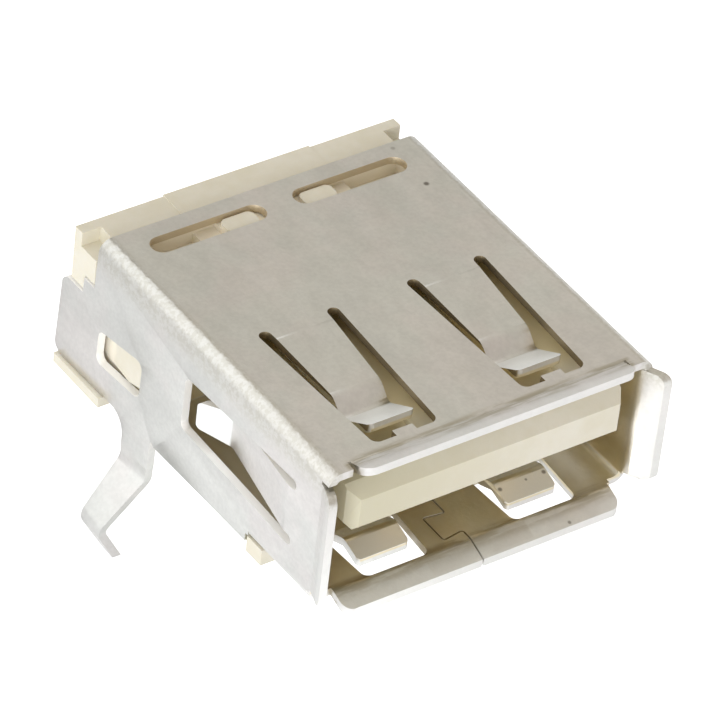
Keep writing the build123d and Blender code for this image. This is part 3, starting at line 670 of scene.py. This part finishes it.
def plated_steel():
    """Dull tin plate: pale and cloudy, pebbled along the folds, with painted shade that makes it warmer and
    darker inside, and painted highlights on some tips and cut faces.
    """
    material, shading, shader = new_material("plated steel")
    at = Spot(shading, shading.object_place())
    face = Facing(shading, at)
    cuts = shading.largest(roof_cuts(shading, at, face), seam_cuts(shading, at, face))
    edges = matt_wall_cuts(shading, at, face)
    fingers = finger_tips(shading, at, face)
    tip_highlights = shading.largest(roof_spring_highlights(shading, at, face), side_spring_highlights(shading, at, face))
    fold = shading.product(shading.rise(at.across, ON_FOLD), shading.rise(at.height, UP_FOLD))
    pebbles = shading.noise(at.place, PEBBLES, detail=3.0, roughness=0.62)

    # Painted shade on cut faces: dark brown by the springs, paler brown by the rear slots
    cut_shade = shading.blend(shading.rise(at.behind, SPRINGS_TO_SLOTS), CUT_SHADE_DARK, CUT_SHADE_PALE)
    # Painted shade inside the mouth: an olive-brown copy of the plate laid over the outside tone
    inside = inside_mouth(shading, at, face)
    colour = shading.laid(inner_shade(shading, at, face), sheet_tone(shading, at), inside)
    colour = shading.laid(cut_shade, colour, cuts)
    # Painted highlight: near white on the walls' cut faces, which are also made matt below
    colour = shading.laid(WALL_CUT_HIGHLIGHT, colour, edges)
    # Painted light: a paler grey on the finger tips, which are also made less metal below
    colour = shading.laid(FINGER_LIT_GREY, colour, fingers)
    # Painted shade along the lip bends and a painted highlight at the lip tips
    colour = with_lip_shade_and_highlight(shading, at, colour)
    # Painted highlight on the tips of the springs
    colour = shading.laid(SPRING_TIP_HIGHLIGHT, colour, tip_highlights, strength=0.95)
    colour = with_fold_tones(shading, colour, fold, pebbles)
    shading.join(with_marks(shading, at, colour), shader.inputs["Base Color"])

    dull = shading.largest(edges, shading.product(fingers, FINGER_DULLNESS))
    shading.join(shading.ramp(dull, (0.0, 1.0), low=1.0, high=EDGE_METAL), shader.inputs["Metallic"])

    brushed = shading.stretched(at.place, BRUSHED)
    streaks = use_group(shading, MOTTLE, Place=brushed, Size_per_mm=1.4)
    satin = shading.around_half(streaks, half=0.20, low=0.30, high=0.40)
    scattered = shading.product(shading.largest(edges, tip_highlights, cuts), SCATTER_ROUGHNESS)
    shading.join(shading.math("ADD", satin, scattered), shader.inputs["Roughness"])

    grain = use_group(shading, GRAIN, Place=at.place, Grains_per_mm=9.0, Waves_per_mm=0.9, Wave_share=0.35)
    pebble_height = shading.product(pebbles, fold, PEBBLE_LIFT)
    relief(shading, shader, shading.math("ADD", grain, pebble_height), depth=0.014, strength=0.6)
    return material


def ivory_plastic():
    """Heat-proof moulding plastic: ivory, satin, a little waxy."""
    material, shading, shader = new_material("ivory plastic")
    at = Spot(shading, shading.object_place())
    tone = use_group(shading, MOTTLE, Place=at.place, Size_per_mm=0.5)
    # Painted shade on the plastic under the roof and in the mouth: a deeper, yellower ivory
    shade_inside = shading.product(
        shading.fall(at.across, BY_INSIDE),
        shading.fall(at.height, UNDER_ROOF),
        shading.rise(at.height, OVER_FLOOR),
        shading.rise(at.behind, TONGUE_SHADE),
        shading.fall(at.behind, BLOCK_FRONT),
    )
    # Painted light on the plastic seen through the rear slots: a paler ivory
    lit_in_slots = shading.product(
        shading.fall(at.across, BY_INSIDE),
        shading.fall(at.height, OVER_ROOF_FACE),
        shading.rise(at.behind, IN_SLOTS),
        shading.fall(at.behind, BEHIND_SLOTS),
    )
    # Painted shade on the front of the tongue, fading out toward the right
    tongue_shade = shading.product(
        shading.fall(at.behind, TONGUE_FRONT),
        shading.fall(at.right, LEFT_TO_RIGHT),
    )
    dust = use_group(shading, SPECKS, Place=at.place, Cells_per_mm=0.9, Radius=0.04, Share=0.08)

    colour = shading.blend(shading.around_half(tone, half=0.16), IVORY_DEEP, IVORY_PALE)
    colour = shading.laid(IVORY_SHADE_INSIDE, colour, shade_inside)
    colour = shading.laid(IVORY_LIT_IN_SLOTS, colour, lit_in_slots, strength=0.9)
    colour = shading.laid(IVORY_TONGUE_SHADE, colour, tongue_shade, strength=0.8)
    colour = shading.laid(DUST_BROWN, colour, dust, strength=0.5)
    shading.join(colour, shader.inputs["Base Color"])
    satin = shading.around_half(tone, half=0.20, low=0.38, high=0.50)
    shading.join(satin, shader.inputs["Roughness"])
    shader.inputs["Subsurface Weight"].default_value = 0.12
    shader.inputs["Subsurface Radius"].default_value = (1.0, 0.8, 0.5)
    shader.inputs["Subsurface Scale"].default_value = 0.25 * MM
    shader.inputs["IOR"].default_value = 1.52
    grain = use_group(shading, GRAIN, Place=at.place, Grains_per_mm=14.0, Waves_per_mm=1.2, Wave_share=0.4)
    relief(shading, shader, grain, depth=0.008, strength=0.4)
    return material


def contact_plate():
    """Thin gold-coloured plate where a plug touches, tin plate on the tail."""
    material, shading, shader = new_material("contact plate")
    at = Spot(shading, shading.object_place())
    tone = use_group(shading, MOTTLE, Place=at.place, Size_per_mm=0.9)
    cloud = shading.around_half(tone, half=0.15)
    gold = shading.blend(cloud, GOLD_DEEP, GOLD_PALE)
    tin = shading.blend(cloud, TIN_DEEP, TIN_PALE)
    colour = shading.blend(shading.rise(at.height, GOLD_START), tin, gold)
    shading.join(colour, shader.inputs["Base Color"])
    shader.inputs["Metallic"].default_value = 1.0
    satin = shading.around_half(tone, half=0.20, low=0.24, high=0.36)
    shading.join(satin, shader.inputs["Roughness"])
    grain = use_group(shading, GRAIN, Place=at.place, Grains_per_mm=12.0, Waves_per_mm=1.0, Wave_share=0.3)
    relief(shading, shader, grain, depth=0.006, strength=0.4)
    return material


def dress(node, material, rounding):
    """Gives a CAD node its finish and softens its edges."""
    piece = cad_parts[node]
    piece.data.materials.clear()
    piece.data.materials.append(material)
    weld = piece.modifiers.new("weld", "WELD")
    weld.merge_threshold = WELD_GAP
    soft = piece.modifiers.new("soft edges", "BEVEL")
    soft.width = rounding
    soft.segments = ROUNDING_STEPS
    soft.limit_method = "ANGLE"
    soft.angle_limit = SHARP_ANGLE
    soft.harden_normals = True


def light(name, place, size, power, colour):
    """A soft rectangular light that looks at the object."""
    data = bpy.data.lights.new(name, "AREA")
    data.shape = "RECTANGLE"
    data.size, data.size_y = size
    data.energy = power
    data.color = colour
    lamp = bpy.data.objects.new(name, data)
    bpy.context.scene.collection.objects.link(lamp)
    lamp.location = Vector(place)
    lamp.rotation_euler = (-Vector(place)).to_track_quat("-Z", "Y").to_euler()


def set_world():
    """A pale room: white near the floor, a warm grey ceiling, and a wide bright panel at the left."""
    world = bpy.data.worlds.new("studio")
    world.use_nodes = True
    tree = world.node_tree
    tree.nodes.clear()
    shading = Shading(tree)
    way = shading.node("ShaderNodeTexCoord").outputs["Generated"]
    _, rearward, up = shading.axes(way)
    ceiling = shading.blend(shading.fall(rearward, FRONT_TO_REAR), CEILING_REAR, CEILING_FRONT)
    room = shading.blend(shading.rise(up, CEILING_RISE), ROOM_WHITE, ceiling)
    low_rear = shading.product(
        shading.rise(up, LOW_REAR_START),
        shading.fall(up, LOW_REAR_END),
        shading.rise(rearward, REAR_SIDE),
    )
    room = shading.laid(LOW_REAR, room, low_rear)
    toward = shading.node("ShaderNodeVectorMath", operation="DOT_PRODUCT")
    shading.join(way, toward.inputs[0])
    toward.inputs[1].default_value = PANEL_WAY
    room = shading.laid(PANEL_WHITE, room, shading.rise(toward.outputs["Value"], PANEL_EDGE))
    path = shading.node("ShaderNodeLightPath")
    backdrop = shading.node("ShaderNodeBackground")
    shading.join(shading.laid(WHITE, room, path.outputs["Is Camera Ray"]), backdrop.inputs["Color"])
    output = shading.node("ShaderNodeOutputWorld")
    shading.join(backdrop.outputs[0], output.inputs["Surface"])
    bpy.context.scene.world = world


def white_table():
    """Matt white that looks white to the camera and brighter in front as mirrored by the metal."""
    material, shading, shader = new_material("white table")
    at = Spot(shading, shading.object_place())
    mirrored = shading.ramp(at.behind, FRONT_TO_REAR_GLOW, low=FRONT_GLOW, high=REAR_GLOW)
    for (right, behind), radius, strength in TABLE_PATCHES:
        centre = (right, behind, TABLE_TOP * PER_MM)
        patch = shading.near(at.place, centre, radius, PATCH_CORE, strength)
        mirrored = shading.math("ADD", mirrored, patch)
    path = shading.node("ShaderNodeLightPath")
    seen = shading.product(path.outputs["Is Camera Ray"], CAMERA_GLOW)
    glossy = shading.largest(path.outputs["Is Glossy Ray"], path.outputs["Is Transmission Ray"])
    glow = shading.math("ADD", seen, shading.product(glossy, mirrored))
    shader.inputs["Base Color"].default_value = TABLE_COLOUR
    shader.inputs["Roughness"].default_value = TABLE_ROUGHNESS
    shader.inputs["Specular IOR Level"].default_value = 0.0
    shader.inputs["Emission Color"].default_value = WHITE
    shading.join(glow, shader.inputs["Emission Strength"])
    return material


def lay_table():
    """Plain white table top that keeps the object's shadow."""
    mesh = bpy.data.meshes.new("table_top")
    signs = [(-1, -1), (1, -1), (1, 1), (-1, 1)]
    corners = [(x * TABLE_HALF, y * TABLE_HALF, TABLE_TOP) for x, y in signs]
    mesh.from_pydata(corners, [], [(0, 1, 2, 3)])
    mesh.materials.append(white_table())
    floor = bpy.data.objects.new("table_top", mesh)
    bpy.context.scene.collection.objects.link(floor)


place_camera()
bpy.context.scene.view_settings.view_transform = "Standard"
set_world()
lay_table()
light("key", KEY_PLACE, KEY_SIZE, KEY_POWER, KEY_COLOUR)

dress("shell", plated_steel(), SHEET_ROUNDING)
dress("insulator", ivory_plastic(), PLASTIC_ROUNDING)
plate = contact_plate()
for number in range(1, CONTACTS + 1):
    dress(f"contact_{number}", plate, CONTACT_ROUNDING)
